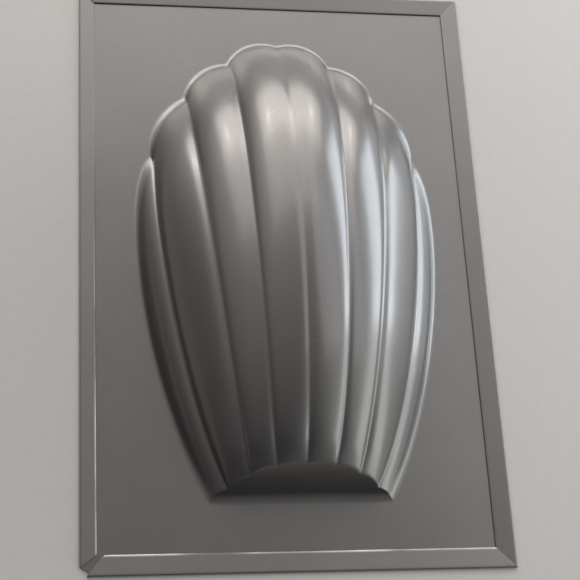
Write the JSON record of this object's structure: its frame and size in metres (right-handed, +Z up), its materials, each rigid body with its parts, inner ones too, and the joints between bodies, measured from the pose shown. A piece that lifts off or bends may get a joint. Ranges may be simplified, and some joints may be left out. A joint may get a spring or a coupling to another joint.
{
  "type": "madeleine pan",
  "caption": "Flat rectangular baking plate with folded edges and one giant fluted shell-shaped mould, lying face down.",
  "frame": {"origin": "centre of the pan's rectangle at the level of the rim plate's food side, which lies on the table", "axes": "+Z up, out of the back of the shell; +Y from the shell's narrow flat end to its broad end; +X to the right"},
  "size_m": [0.199, 0.304, 0.0515],
  "materials": {
    "plate_coat": "semi-gloss metallic grey non-stick coating on steel",
    "shell_coat": "semi-gloss metallic grey non-stick coating on steel",
    "hem_coat": "semi-gloss metallic grey non-stick coating on steel, bare bright cut edge"
  },
  "bodies": {
    "root": {"flat_plate": "plate_coat", "shell_mould": "shell_coat", "hem_left": "hem_coat", "hem_right": "hem_coat", "hem_front": "hem_coat", "hem_back": "hem_coat"}
  },
  "joints": []
}
